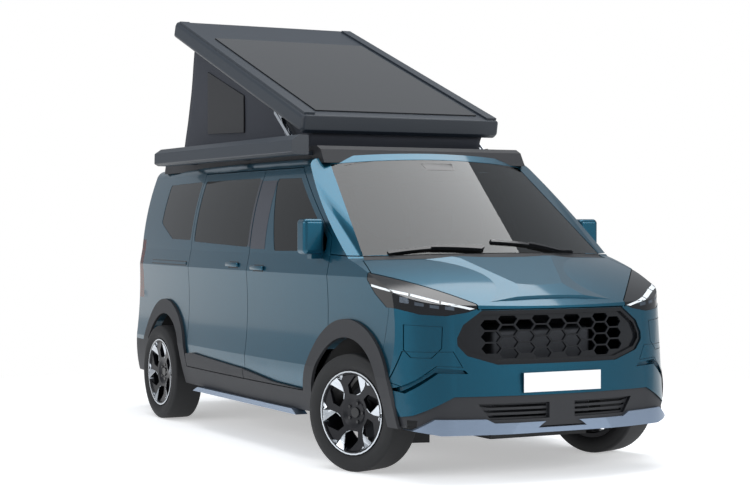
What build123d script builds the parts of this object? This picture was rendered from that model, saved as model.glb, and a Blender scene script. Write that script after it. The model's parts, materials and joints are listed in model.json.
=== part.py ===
"""A camper van with a raised pop-up roof, as separate panels, glass, running gear and cabin pieces.

Millimetres. +Z is up, the nose points to -Y, and the van's right-hand side, with the sliding door and
the awning, lies on the -X side. The origin is on the ground under the middle of the van.
"""
from build123d import *
from functools import cache
import math
import os

# Overall size and axles
LENGTH = 4900.0
WHEELBASE = 3100.0
FRONT_OVERHANG = 850.0
HALF_WIDTH = 985.0            # sheet metal at its widest, just above the sills
FLOOR_Z = 300.0               # underside of the sills
ROOF_Z = 1905.0               # crown of the steel roof
NOSE_Y = -LENGTH / 2
TAIL_Y = LENGTH / 2
FRONT_AXLE_Y = NOSE_Y + FRONT_OVERHANG
REAR_AXLE_Y = FRONT_AXLE_Y + WHEELBASE

# Walls, gaps and glass
WALL = 52.0                   # a whole door or side wall, from skin to trim
SHUT_GAP = 6.0                # between neighbouring panels
SEAT_GAP = 0.3                # between a piece and what carries it
GLASS = 6.0
GLASS_SINK = 2.0              # the glass lies this far under the skin
BONNET_THICK = 30.0

# Wheels and arches
TYRE_R = 346.0
TYRE_WIDTH = 232.0
RIM_R = 246.0
TRACK_HALF = 868.0            # middle of the tread to the middle of the van
STEER_REST = 20.0             # the front wheels stand turned to the left, as parked
WHEEL_Z = TYRE_R
ARCH_R = 438.0                # opening in the panels
ARCH_TRIM = 108.0             # width of the black trim round it
TRIM_THICK = 20.0             # how far that trim stands off the skin
HOUSE_DEPTH_FRONT = 440.0     # how far in the front wheel house reaches from the skin
HOUSE_DEPTH_REAR = 300.0

# Body curvature: far axes that the sides, windscreen, bonnet and tail are turned about
SIDE_R = 30000.0
WIDEST_Y = -300.0
ROOF_R = 7400.0
SCREEN_R = 3000.0
SCREEN_RAKE = 35.4            # degrees above the horizontal
SCREEN_FOOT_Y = -1790.0
SCREEN_FOOT_Z = 1268.0
BONNET_R = 6000.0
BONNET_FRONT = (NOSE_Y + 40, 980.0)
BONNET_REAR = (SCREEN_FOOT_Y, 1258.0)
BONNET_BOW = 20.0             # rise of the bonnet's middle over its chord, seen from the side
DOME_RISE = 14.0              # how far the bonnet's middle stands over its sides
DOME_REAR = (-1700.0, 500.0, 620.0)   # y, half width of its top and of its foot
DOME_FRONT = (-2330.0, 250.0, 400.0)
NOSE_LEAN = 0.09              # run for each millimetre of rise
TAIL_LEAN = 0.11
BUMPER_Z = 450.0              # height at which nose and tail reach furthest

# Belt and shut lines on the sides, (y, z)
BELT_Z = 1262.0
DOOR_FRONT_Y = -1335.0
DOOR_SPLIT_Y = -150.0
SLIDING_REAR_Y = 975.0
DOOR_BOTTOM_Z = 432.0
DOOR_TOP_Z = 1806.0
PILLAR_SLOPE = 0.712          # rise over run of the A pillar
PILLAR_START_Z = 1372.0       # where the door frame leaves its front edge

BIG = 6000.0


def yz_face(points, radius=0.0):
    """A flat face in the side view from (y, z) points, its corners rounded."""
    face = make_face(Polyline(*points, close=True))
    if radius:
        face = fillet(face.vertices(), radius)
    return face


def yz_prism(points, x_from, x_to, radius=0.0):
    """A prism across the van between two x positions, from its outline in the side view."""
    face = Plane.YZ.offset(x_from) * yz_face(points, radius)
    return extrude(face, x_to - x_from, dir=(1, 0, 0))


def xz_prism(points, y_from, y_to, radius=0.0):
    """A prism along the van, from its outline in the front view."""
    face = make_face(Polyline(*points, close=True))
    if radius:
        face = fillet(face.vertices(), radius)
    return extrude(Plane.XZ.offset(-y_from) * face, y_to - y_from, dir=(0, 1, 0))


def xy_prism(points, z_from, z_to, radius=0.0):
    """An upright prism, from its outline in the top view."""
    face = make_face(Polyline(*points, close=True))
    if radius:
        face = fillet(face.vertices(), radius)
    return extrude(Plane.XY.offset(z_from) * face, z_to - z_from, dir=(0, 0, 1))


def block(x_from, x_to, y_from, y_to, z_from, z_to):
    centre = ((x_from + x_to) / 2, (y_from + y_to) / 2, (z_from + z_to) / 2)
    return Pos(*centre) * Box(x_to - x_from, y_to - y_from, z_to - z_from)


def cross_tube(y, z, radius, x_from, x_to):
    """A round bar or cylinder lying across the van."""
    disc = Plane.YZ.offset(x_from) * (Pos(y, z) * Circle(radius))
    return extrude(disc, x_to - x_from, dir=(1, 0, 0))


def mirrored(shape):
    return mirror(shape, about=Plane.YZ)


def both(shape):
    return Compound(children=list(shape.solids()) + list(mirrored(shape).solids()))


def side_half(inset):
    """All that lies inboard of the right-hand skin, turned about a far upright axis."""
    def out(x, z):
        return (-(x - inset), z)
    foot = out(HALF_WIDTH - 45, FLOOR_Z)
    hip = out(HALF_WIDTH, 585)
    crease = out(HALF_WIDTH - 12, 1142)
    belt = out(HALF_WIDTH - 36, BELT_Z)
    eave = out(HALF_WIDTH - 158, 1800)
    rail = (-(740 - inset), 1868 - inset)
    edges = [
        ThreePointArc(foot, out(HALF_WIDTH - 12, 430), hip),
        ThreePointArc(hip, out(HALF_WIDTH - 22, 880), crease),
        Line(crease, belt),
        ThreePointArc(belt, out(HALF_WIDTH - 84, 1560), eave),
        ThreePointArc(eave, (-(797 - inset), 1848 - inset * 0.7), rail),
        Line(rail, (BIG / 4, ROOF_Z + 700)),
        Line((BIG / 4, ROOF_Z + 700), (BIG / 4, -500)),
        Line((BIG / 4, -500), (foot[0], 0)),
        Line((foot[0], 0), foot),
    ]
    face = Plane.XZ.offset(-WIDEST_Y) * make_face(edges)
    axis = Axis((SIDE_R - HALF_WIDTH, WIDEST_Y, 0), (0, 0, 1))
    swing = 5.6
    return revolve(face.rotate(axis, -swing), axis, revolution_arc=2 * swing)


def roof_volume(inset):
    """All that lies under the crowned roof, a cylinder along the van."""
    rise = ROOF_Z - inset - ROOF_R
    disc = Plane.XZ.offset(BIG / 2) * (Pos(0, rise) * Circle(ROOF_R))
    return extrude(disc, BIG, dir=(0, 1, 0))


def nose_volume(inset):
    """All that lies behind the nose, whose top-view outline leans back as it rises."""
    nose = NOSE_Y + inset - NOSE_LEAN * BUMPER_Z
    bow = (640 - inset * 0.6, nose + 90)
    knee = (872 - inset * 0.8, nose + 236 + inset * 0.1)
    flank = (HALF_WIDTH - 38 - inset, nose + 520)
    wide = 1100.0
    edges = [
        ThreePointArc((-bow[0], bow[1]), (0, nose), bow),
        ThreePointArc(bow, knee, flank),
        Line(flank, (wide, nose + 900)),
        Line((wide, nose + 900), (wide, BIG)),
        Line((wide, BIG), (-wide, BIG)),
        Line((-wide, BIG), (-wide, nose + 900)),
        Line((-wide, nose + 900), (-flank[0], flank[1])),
        ThreePointArc((-flank[0], flank[1]), (-knee[0], knee[1]), (-bow[0], bow[1])),
    ]
    return extrude(make_face(edges), 2600, dir=(0, NOSE_LEAN, 1))


def tail_volume(inset):
    """All that lies ahead of the tail, whose top-view outline leans forward as it rises."""
    tail = TAIL_Y - inset + TAIL_LEAN * BUMPER_Z
    bow = (600 - inset * 0.6, tail - 40)
    knee = (830 - inset * 0.8, tail - 120)
    flank = (HALF_WIDTH - 15 - inset, tail - 330)
    wide = 1100.0
    edges = [
        ThreePointArc((-bow[0], bow[1]), (0, tail), bow),
        ThreePointArc(bow, knee, flank),
        Line(flank, (wide, tail - 700)),
        Line((wide, tail - 700), (wide, -BIG)),
        Line((wide, -BIG), (-wide, -BIG)),
        Line((-wide, -BIG), (-wide, tail - 700)),
        Line((-wide, tail - 700), (-flank[0], flank[1])),
        ThreePointArc((-flank[0], flank[1]), (-knee[0], knee[1]), (-bow[0], bow[1])),
    ]
    return extrude(make_face(edges), 2600, dir=(0, -TAIL_LEAN, 1))


def nose_layer(outer, inner):
    """The wall between two depths under the nose's skin alone."""
    return nose_volume(outer) - nose_volume(inner)


def screen_volume(inset):
    """All that lies behind the windscreen, a cylinder whose axis runs along the glass."""
    rake = math.radians(SCREEN_RAKE)
    along = (0, math.cos(rake), math.sin(rake))
    out = (0, -math.sin(rake), math.cos(rake))
    reach = SCREEN_R
    start = [f - o * reach - a * BIG for f, o, a in zip((0, SCREEN_FOOT_Y, SCREEN_FOOT_Z), out, along)]
    return extrude(Plane(origin=start, z_dir=along) * Circle(SCREEN_R - inset), 2 * BIG)


def bonnet_chord():
    """Length and direction of the bonnet's chord in the side view."""
    dy, dz = BONNET_REAR[0] - BONNET_FRONT[0], BONNET_REAR[1] - BONNET_FRONT[1]
    length = math.hypot(dy, dz)
    return length, (dy / length, dz / length)


def bonnet_crest(y):
    """Height of the bonnet's crest in the middle of the van."""
    length, along = bonnet_chord()
    run = (y - BONNET_FRONT[0]) / along[0]
    bow = BONNET_BOW * (1 - (2 * run / length - 1) ** 2)
    return BONNET_FRONT[1] + run * along[1] + bow / along[0]


def bonnet_volume(inset):
    """All that lies under the bonnet, a shallow barrel turned about a far axis along its chord."""
    length, along = bonnet_chord()
    up = (-along[1], along[0])

    def at(run, rise):
        (y, z), (ay, az), (uy, uz) = BONNET_FRONT, along, up
        return (y + ay * run + uy * rise, z + az * run + uz * rise)
    before, deep = 0.4, 1500.0
    fall = BONNET_BOW * ((1 + 2 * before) ** 2 - 1)
    first = at(-before * length, -fall - inset)
    last = at((1 + before) * length, -fall - inset)
    middle = at(length / 2, BONNET_BOW - inset)
    edges = [
        ThreePointArc(first, middle, last),
        Line(last, at((1 + before) * length, -deep)),
        Line(at((1 + before) * length, -deep), at(-before * length, -deep)),
        Line(at(-before * length, -deep), first),
    ]
    centre = at(0, -BONNET_R)
    axis = Axis((0, *centre), (0, *along))
    face = Plane.YZ * make_face(edges)
    swing = 11.0
    return revolve(face.rotate(axis, swing), axis, revolution_arc=-2 * swing)


def dome_section(y, top_half, foot_half):
    """Front-view section of the bonnet's raised middle: a line through its top edge and its foot."""
    crest = bonnet_crest(y)
    top_z = crest - top_half ** 2 / 2 / BONNET_R + DOME_RISE
    foot_z = crest - foot_half ** 2 / 2 / BONNET_R
    run, fall = foot_half - top_half, top_z - foot_z
    high = (top_half - run, top_z + fall)
    low = (foot_half + run, foot_z - fall)
    points = [(-low[0], low[1]), (-high[0], high[1]), high, low]
    return Plane.XZ.offset(-y) * make_face(Polyline(*points, close=True))


@cache
def dome_volume():
    """The wedge that bounds the bonnet's raised middle at both sides."""
    return loft([dome_section(*DOME_REAR), dome_section(*DOME_FRONT)])


@cache
def envelope(inset):
    """The closed outer form of the body, moved in by inset on every side."""
    half = side_half(inset)
    body = half & mirrored(half)
    body = body & block(-1100, 1100, NOSE_Y + inset, TAIL_Y - inset, FLOOR_Z + inset, 2600)
    body = body & roof_volume(inset) & tail_volume(inset) & nose_volume(inset)
    return body & (screen_volume(inset) + bonnet_volume(inset))


@cache
def skin_layer(outer, inner):
    """The wall between two depths under the skin."""
    return envelope(outer) - envelope(inner)


@cache
def right_wall():
    """The right-hand half of the whole wall, from skin to trim."""
    return skin_layer(0, WALL) & block(-1200, 0, -3000, 3000, 0, 3000)


def side_cut(points, grow=0.0, radius=0.0, x_from=-1200.0, x_to=-560.0):
    """A side-view outline driven through the right-hand wall, grown or shrunk on all its edges."""
    face = yz_face(points, radius)
    if grow:
        face = offset(face, grow, kind=Kind.INTERSECTION)
    return extrude(Plane.YZ.offset(x_from) * face, x_to - x_from, dir=(1, 0, 0))


def front_cut(points, grow=0.0, radius=0.0, y_from=NOSE_Y - 100, y_to=NOSE_Y + 600):
    """A front-view outline driven into the nose, or into the tail, grown on all its edges."""
    face = make_face(Polyline(*points, close=True))
    if radius:
        face = fillet(face.vertices(), radius)
    if grow:
        face = offset(face, grow, kind=Kind.INTERSECTION)
    return extrude(Plane.XZ.offset(-y_from) * face, y_to - y_from, dir=(0, 1, 0))


def plan_cut(edges, z_from, z_to, grow=0.0):
    """A top-view outline driven down through the body, grown on all its edges."""
    face = make_face(edges)
    if grow:
        face = offset(face, grow, kind=Kind.INTERSECTION)
    return extrude(Plane.XY.offset(z_from) * face, z_to - z_from, dir=(0, 0, 1))


def arch_cut(axle_y, radius, depth):
    """A wheel's round opening through the right-hand side, to a depth from the widest skin."""
    return cross_tube(axle_y, WHEEL_Z, radius, -1300, -HALF_WIDTH + depth)


def arches(radius, front_depth, rear_depth):
    front = arch_cut(FRONT_AXLE_Y, radius, front_depth)
    return front + arch_cut(REAR_AXLE_Y, radius, rear_depth)


# Outlines of the doors and windows in the side view, (y, z), right-hand side
PILLAR_TOP_Y = DOOR_FRONT_Y + (DOOR_TOP_Z - PILLAR_START_Z) / PILLAR_SLOPE
FRONT_DOOR = [
    (DOOR_FRONT_Y, DOOR_BOTTOM_Z),
    (DOOR_FRONT_Y, PILLAR_START_Z),
    (PILLAR_TOP_Y, DOOR_TOP_Z),
    (DOOR_SPLIT_Y - SHUT_GAP / 2, DOOR_TOP_Z),
    (DOOR_SPLIT_Y - SHUT_GAP / 2, DOOR_BOTTOM_Z),
]
SLIDING_DOOR = [
    (DOOR_SPLIT_Y + SHUT_GAP / 2, DOOR_BOTTOM_Z),
    (DOOR_SPLIT_Y + SHUT_GAP / 2, DOOR_TOP_Z),
    (SLIDING_REAR_Y, DOOR_TOP_Z),
    (SLIDING_REAR_Y, DOOR_BOTTOM_Z),
]
FRONT_WINDOW = [(-1278, 1288), (-1278, 1364), (-745, 1742), (-385, 1745), (-545, 1278)]
SLIDING_WINDOW = [(-112, 1298), (-112, 1755), (930, 1755), (930, 1325)]
QUARTER_WINDOW = [(1008, 1335), (1008, 1755), (1750, 1745), (1765, 1457), (1440, 1340)]
WINDOW_CORNER = 26.0
SIDE_WINDOWS = {"front": FRONT_WINDOW, "sliding": SLIDING_WINDOW, "quarter": QUARTER_WINDOW}

# Fender, bumper and lamp outlines, side view (y, z) and front view (x, z)
FENDER_TOP = [(-1850, 1250), (DOOR_FRONT_Y - SHUT_GAP, 1264)]
FENDER_FRONT = [(-1992, 300), (-1992, 700), (-2052, 960), (-2052, 1300)]
LAMP_FRONT = [(-1000, 1300), (-1000, 985), (-914, 978), (-813, 944), (-683, 935), (-560, 955),
              (-498, 976), (-498, 1300)]
LAMP_SIDE = [(-3000, 900), (-2060, 930), (-2022, 980), (-1903, 1052), (-1825, 1128), (-1825, 1300),
             (-3000, 1300)]
GRILLE_HALF = [(400, 660), (575, 712), (627, 770), (627, 812), (590, 885), (478, 965)]
INTAKE_HALF = [(1000, 280), (1000, 350), (860, 380), (655, 485)]
LOWER_OPENING = [(85, 352), (85, 442), (520, 442), (450, 352)]
VENT_SLOT = [(-940, 520), (-884, 502), (-735, 618), (-572, 612), (-590, 632), (-742, 648), (-900, 540)]
VENT_PANEL = [(-889, 738), (-937, 560), (-890, 535), (-742, 656), (-600, 648), (-650, 738)]
NOSE_PANEL = [(-880, 888), (-703, 878), (-712, 755), (-766, 700), (-858, 702), (-884, 745)]
PLATE = (520.0, 110.0, 557.0)     # width, height and middle of the blank number plate

# Windscreen, bonnet and cowl outlines, top view (x, y)
SCREEN_TOP = (697.0, -858.0)
SCREEN_TOP_MIDDLE_Y = -950.0
SCREEN_BASE = (839.0, -1590.0)
SCREEN_BASE_MIDDLE_Y = -1775.0
BONNET_CORNER = (862.0, -1650.0)
BONNET_CORNER_Z = 1258.0
BONNET_SHOULDER = (912.0, -1830.0)    # where bonnet, fender and headlamp meet
BONNET_SHOULDER_Z = 1150.0
BONNET_LEAN = 0.6             # forward run of the bonnet's side edges for each millimetre of rise
BONNET_TIP = (500.0, -2330.0)
BONNET_REAR_MIDDLE_Y = -1832.0
BONNET_LIP_Z = 972.0
COWL_Z = 1100.0

# Roof, its hatch and the tail's outlines
ROOF_EDGE_X = 700.0
HATCH = (600.0, -300.0, 1640.0)   # half width, front and rear of the opening to the roof tent
TAIL_SIDE_X = 800.0
TAIL_TOP_Z = 1790.0
TAIL_FOOT_Z = 560.0
TAIL_TOP_SIDE_X = 690.0
REAR_WINDOW = [(-640, 1290), (-570, 1720), (570, 1720), (640, 1290)]
TAIL_LAMP = [(-1000, 880), (-1000, 1330), (-828, 1330), (-852, 880)]


def whole(half):
    """A front-view outline from its right-hand half."""
    return half + [(-x, z) for x, z in reversed(half)]


GRILLE = whole(GRILLE_HALF)
INTAKE = whole(INTAKE_HALF)


def screen_outline():
    """Top-view outline of the windscreen."""
    top, base = SCREEN_TOP, SCREEN_BASE
    return [
        ThreePointArc((-top[0], top[1]), (0, SCREEN_TOP_MIDDLE_Y), top),
        Line(top, base),
        ThreePointArc(base, (0, SCREEN_BASE_MIDDLE_Y), (-base[0], base[1])),
        Line((-base[0], base[1]), (-top[0], top[1])),
    ]


def bonnet_rear_outline():
    """Top-view outline that ends the bonnet ahead of the scuttle."""
    corner, wide, front = BONNET_CORNER, 1000.0, NOSE_Y - 100
    return [
        ThreePointArc((-corner[0], corner[1]), (0, BONNET_REAR_MIDDLE_Y), corner),
        Line(corner, (wide, corner[1])),
        Line((wide, corner[1]), (wide, front)),
        Line((wide, front), (-wide, front)),
        Line((-wide, front), (-wide, corner[1])),
        Line((-wide, corner[1]), (-corner[0], corner[1])),
    ]


def bonnet_side_cut(grow):
    """Prism through the bonnet's side edges, which lean forward so that the lid can swing up."""
    right = []
    corners = ((BONNET_CORNER, BONNET_CORNER_Z), (BONNET_SHOULDER, BONNET_SHOULDER_Z), (BONNET_TIP, 1000))
    for (x, y), z in corners:
        right.append((x, y + BONNET_LEAN * (z - 1000)))
    (x0, y0), (x1, y1) = right[:2]
    behind = (x0 + (x0 - x1) / 2, y0 + (y0 - y1) / 2)
    half = [behind] + right[:] + [(BONNET_TIP[0], NOSE_Y - 100)]
    face = make_face(Polyline(*whole(half), close=True))
    if grow:
        face = offset(face, grow, kind=Kind.INTERSECTION)
    low = 900.0
    face = Pos(0, BONNET_LEAN * (1000 - low), low) * face
    return extrude(face, 500 * math.hypot(1, BONNET_LEAN), dir=(0, -BONNET_LEAN, 1))


def cowl_outline():
    """Top-view outline of the black scuttle between the bonnet and the windscreen."""
    base = (SCREEN_BASE[0], SCREEN_BASE[1] - 2)
    middle, corner = SCREEN_BASE_MIDDLE_Y - 2, (BONNET_CORNER[0] - 6, BONNET_CORNER[1] + SHUT_GAP)
    rear_middle = BONNET_REAR_MIDDLE_Y + SHUT_GAP
    return [
        ThreePointArc((-base[0], base[1]), (0, middle), base),
        Line(base, corner),
        ThreePointArc(corner, (0, rear_middle), (-corner[0], corner[1])),
        Line((-corner[0], corner[1]), (-base[0], base[1])),
    ]


@cache
def bonnet_cut(grow=0.0):
    rear = plan_cut(bonnet_rear_outline(), BONNET_LIP_Z - grow, 1390, grow)
    return rear & bonnet_side_cut(grow)


def screen_cut(grow=0.0):
    return plan_cut(screen_outline(), COWL_Z, ROOF_Z + 100, grow)


def cowl_cut(grow=0.0):
    return plan_cut(cowl_outline(), COWL_Z, 1500, grow)


def lamp_cut(grow=0.0):
    """The right-hand headlamp's place, where its front-view and side-view outlines both hold."""
    return front_cut(LAMP_FRONT, grow, y_to=NOSE_Y + 700) & side_cut(LAMP_SIDE, grow, x_to=0)


FLOOR_HALF = 875.0
FLOOR_REAR_HALF = 700.0       # behind the rear wheels, where the body narrows
FLOOR_STEP_Y = 1900.0
FLOOR_REAR_Y = 2220.0


def floor_space():
    """The part of the bottom wall that the floor pan and the open engine bay take."""
    wide, narrow, low, high = FLOOR_HALF, FLOOR_REAR_HALF, FLOOR_Z - 10, FLOOR_Z + WALL + 1
    main = block(-wide, wide, NOSE_Y + 200, FLOOR_STEP_Y, low, high)
    return main + block(-narrow, narrow, FLOOR_STEP_Y, FLOOR_REAR_Y, low, high)


def door_clear(axle_y):
    """Room round an arch's trim, which the doors stay out of."""
    return arch_cut(axle_y, ARCH_R + ARCH_TRIM + 10, 500)


# Body panels

def front_door():
    door = right_wall() & side_cut(FRONT_DOOR)
    return door - door_clear(FRONT_AXLE_Y) - side_cut(FRONT_WINDOW, radius=WINDOW_CORNER)


def sliding_door():
    door = right_wall() & side_cut(SLIDING_DOOR)
    door = door - door_clear(REAR_AXLE_Y) - side_cut(SLIDING_WINDOW, radius=WINDOW_CORNER)
    floor_top = FLOOR_Z + WALL + SEAT_GAP
    for y in (60, 760):
        door = door + block(-880, -850, y, y + 70, floor_top, 520)
        door = door + block(-945, -850, y, y + 70, 480, 520)
    return door


def side_region():
    """Side-view outline of the side wall: all behind the door's front edge, and the A pillar."""
    line = DOOR_FRONT_Y - SHUT_GAP + 1
    points = [
        (line, FLOOR_Z - 10),
        (line, FENDER_TOP[1][1] + SHUT_GAP),
        (FENDER_TOP[0][0], FENDER_TOP[0][1] + SHUT_GAP),
        (FENDER_TOP[0][0] - 30, 1500),
        (-1200, 2000),
        (TAIL_Y + 50, 2000),
        (TAIL_Y + 50, FLOOR_Z - 10),
    ]
    return yz_prism(points, -1200, -ROOF_EDGE_X - SEAT_GAP)


def side_wall(with_sliding_door):
    """One side, from the A pillar to the rear corner, with its window and door openings cut."""
    wall = right_wall() & side_region()
    wall = wall - side_cut(FRONT_DOOR, SHUT_GAP) - arches(ARCH_R, 600, 600)
    if with_sliding_door:
        wall = wall - side_cut(SLIDING_DOOR, SHUT_GAP)
    else:
        wall = wall - side_cut(SLIDING_WINDOW, radius=WINDOW_CORNER)
    wall = wall - side_cut(QUARTER_WINDOW, radius=WINDOW_CORNER)
    wall = wall - screen_cut() - cowl_cut(SEAT_GAP) - bonnet_cut(SHUT_GAP) - floor_space()
    return wall - tail_cut(SHUT_GAP) - rear_bumper_space(SEAT_GAP) - tail_lamp_cut(SEAT_GAP)


def tail_cut(grow=0.0):
    """The tailgate's place, driven into the tail."""
    points = [
        (-TAIL_SIDE_X, TAIL_FOOT_Z),
        (-TAIL_SIDE_X, 1240),
        (-TAIL_TOP_SIDE_X, TAIL_TOP_Z),
        (TAIL_TOP_SIDE_X, TAIL_TOP_Z),
        (TAIL_SIDE_X, 1240),
        (TAIL_SIDE_X, TAIL_FOOT_Z),
    ]
    return front_cut(points, grow, y_from=TAIL_Y - 400, y_to=TAIL_Y + 100)


def rear_bumper_space(grow=0.0):
    rear = REAR_AXLE_Y + ARCH_R + ARCH_TRIM
    return block(-1100, 1100, rear - grow, TAIL_Y + 50, FLOOR_Z - 10, TAIL_FOOT_Z - SHUT_GAP + grow)


def tail_lamp_cut(grow=0.0):
    return front_cut(TAIL_LAMP, grow, y_from=TAIL_Y - 320 - grow, y_to=TAIL_Y + 100)


def fender():
    """One front wing, with the leaves on its rear edge that the front door hangs on."""
    line = DOOR_FRONT_Y - SHUT_GAP
    points = [FENDER_FRONT[0], FENDER_FRONT[1], FENDER_FRONT[2], FENDER_FRONT[3]]
    points += [(FENDER_TOP[0][0], 1300), FENDER_TOP[0], (line, FENDER_TOP[1][1]), (line, 300)]
    wing = right_wall() & yz_prism(points, -1200, -500)
    wing = wing - arches(ARCH_R, 600, 600) - bonnet_cut(SHUT_GAP) - lamp_cut(SEAT_GAP)
    wing = wing - cowl_cut(SEAT_GAP) - screen_cut() - floor_space()
    for z in (900, 1150):
        leaf = block(-925, -880, line - 2, DOOR_FRONT_Y - SEAT_GAP, z - 35, z + 35)
        wing = wing + leaf
    return wing


def bonnet():
    """The bonnet with its raised middle."""
    place = bonnet_cut()
    lid = (envelope(0) & place) - bonnet_volume(BONNET_THICK)
    dome = bonnet_volume(-DOME_RISE) & dome_volume() & nose_volume(0) & place
    return lid + (dome - bonnet_volume(BONNET_THICK / 2))


FIREWALL_Y = -1600.0
SCUTTLE_Y = -1812.0           # upper part of the firewall, under the scuttle
SCUTTLE_SHELF_Z = 900.0
FIREWALL_THICK = 18.0


def cowl():
    """The black scuttle with the stepped wall behind the engine bay under it."""
    tray = skin_layer(4, 26) & cowl_cut()
    half = HALF_WIDTH - HOUSE_DEPTH_FRONT - 14
    thick = FIREWALL_THICK
    foot = FLOOR_Z + WALL + SEAT_GAP
    upper = block(-half, half, SCUTTLE_Y - thick, SCUTTLE_Y, SCUTTLE_SHELF_Z, 1228)
    shelf = block(-half, half, SCUTTLE_Y - thick, FIREWALL_Y, SCUTTLE_SHELF_Z - thick, SCUTTLE_SHELF_Z)
    lower = block(-half, half, FIREWALL_Y - thick, FIREWALL_Y, foot, SCUTTLE_SHELF_Z)
    upper = upper - (bonnet_cut(SHUT_GAP) - bonnet_volume(BONNET_THICK + SHUT_GAP))
    return tray + upper + shelf + lower


BONNET_PAD_X = 488.0          # small rubber-tipped pads on which the closed bonnet rests
BONNET_PAD_Z = 961.0
GROOVE = 4.0                  # width of the grooves round the bumper's set-in panels


def front_bumper():
    points = [(NOSE_Y - 50, FLOOR_Z - 10), (FENDER_FRONT[0][0] - SHUT_GAP / 2, FLOOR_Z - 10)]
    points += [(y - SHUT_GAP / 2, z) for y, z in FENDER_FRONT[1:]] + [(NOSE_Y - 50, 1300)]
    cover = envelope(0) & yz_prism(points, -1100, 1100)
    cover = cover - bonnet_cut(SHUT_GAP) - lamp_cut(SEAT_GAP) - mirrored(lamp_cut(SEAT_GAP))
    cover = cover - front_cut(GRILLE, radius=22) - front_cut(INTAKE) - floor_space()
    cover = cover - arches(ARCH_R, 600, 600) - mirrored(arches(ARCH_R, 600, 600))
    cover = cover - envelope(WALL) - nose_grooves() - mirrored(nose_grooves())
    for x in (-BONNET_PAD_X, BONNET_PAD_X):
        pad = block(x - 4, x + 4, NOSE_Y + 98, NOSE_Y + 112, BONNET_PAD_Z, BONNET_LIP_Z - SEAT_GAP)
        cover = cover + pad
    return cover + plate_plinth()


def nose_grooves():
    """Grooves round the bumper's two set-in panels, and the air slot beside the wheel, right-hand side."""
    skin = skin_layer(-1, 7)
    grooves = front_cut(VENT_SLOT) & skin_layer(-1, 30)
    for outline in (VENT_PANEL, NOSE_PANEL):
        grooves = grooves + (skin & (front_cut(outline) - front_cut(outline, -GROOVE)))
    return grooves


def plate_plinth():
    """The flat stand on the bumper that carries the number plate."""
    width, height, middle = PLATE
    half = width / 2
    return block(-half, half, NOSE_Y + 2, NOSE_Y + 40, middle - height / 2, middle + height / 2)


GRILLE_FRAME = 24.0
GRILLE_MIDDLE_Z = 815.0
HEX_FLAT = 35.0               # half the flat top of a hexagon
HEX_POINT = 59.0              # from its middle to its point
HEX_HEIGHT = 57.0
HEX_BAR = 9.0
HEX_COLUMNS = 4               # on each side of the middle column
HEX_ROWS = 3                  # above and below the middle row
HEX_KEPT = 0.45               # a cell cut smaller than this share stays closed


def grille():
    """Black frame and honeycomb of long hexagons, set back in the bumper's opening."""
    opening = front_cut(GRILLE, -SEAT_GAP, radius=22)
    inner = front_cut(GRILLE, -GRILLE_FRAME, radius=18)
    frame = nose_layer(8, WALL) & (opening - inner)
    mesh = nose_layer(24, 40) & (inner - hexagons())
    return frame + mesh


def hexagons():
    """The honeycomb's openings, column by column, those at the frame cut to its outline."""
    limit = front_cut(GRILLE, -GRILLE_FRAME - HEX_BAR)
    half = [(HEX_POINT, 0), (HEX_FLAT, HEX_HEIGHT / 2), (-HEX_FLAT, HEX_HEIGHT / 2)]
    cells = []
    for column in range(-HEX_COLUMNS, HEX_COLUMNS + 1):
        for row in range(-HEX_ROWS, HEX_ROWS + 1):
            x = column * (HEX_FLAT + HEX_POINT + HEX_BAR * 1.2)
            z = GRILLE_MIDDLE_Z + (row + (column % 2) / 2) * (HEX_HEIGHT + HEX_BAR)
            points = [(x + dx, z + dz) for dx, dz in half] + [(x - dx, z - dz) for dx, dz in half]
            cell = front_cut(points)
            kept = (cell & limit).solids()
            if kept and kept[0].volume > HEX_KEPT * cell.volume:
                cells.append(kept[0])
    return cells


def lower_grille():
    """Black foot of the nose, from arch to arch, with a slatted opening at each side of the middle."""
    outline = front_cut(INTAKE, -SEAT_GAP)
    ahead = block(-1100, 1100, -3000, FENDER_FRONT[0][0] - SHUT_GAP / 2, 0, 900)
    panel = skin_layer(8, WALL) & outline & ahead
    panel = panel - arches(ARCH_R, 600, 600) - mirrored(arches(ARCH_R, 600, 600))
    right = [(-x, z) for x, z in LOWER_OPENING]
    for side in (LOWER_OPENING, right):
        panel = panel - (skin_layer(0, 30) & front_cut(side))
        for low in (362, 390, 418):
            slot = [(x, low if z < 400 else low + 14) for x, z in side]
            panel = panel - (front_cut(slot) & front_cut(side, -8))
    return panel - floor_space()


def headlamp():
    lamp = skin_layer(2, WALL) & lamp_cut() & block(-1200, 0, -3000, 0, 0, 2000)
    return lamp - bonnet_cut(SHUT_GAP)


CHIN_PROUD = 8.0              # the silver chin stands this far off the bumper


def skid_trims():
    """Silver chin under the nose, and the long silver bars under the doors."""
    outline = whole([(740, 272), (868, 296), (766, 362), (482, 358), (436, 334)])
    ring = nose_volume(-CHIN_PROUD) - nose_volume(45)
    chin = ring & front_cut(outline, y_from=NOSE_Y - CHIN_PROUD, y_to=NOSE_Y + 420)
    chin = chin & block(-1100, 1100, NOSE_Y, 0, 0, 1000)
    chin = chin - (nose_volume(8 - SEAT_GAP) & block(-1100, 1100, -3000, 0, FLOOR_Z - SEAT_GAP, 400))
    return chin + side_bar() + mirrored(side_bar())


def side_bar():
    points = [(-960, 268), (-900, 299.7), (700, 299.7), (790, 268)]
    return yz_prism(points, -985, -905)


def rear_bumper():
    cover = skin_layer(0, WALL) & rear_bumper_space()
    return cover - floor_space() - tail_cut(SHUT_GAP)


def tailgate():
    lid = skin_layer(0, WALL) & tail_cut() & block(-1100, 1100, 1800, 3000, 0, 3000)
    return lid - front_cut(REAR_WINDOW, radius=40, y_from=TAIL_Y - 400, y_to=TAIL_Y + 100)


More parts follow.
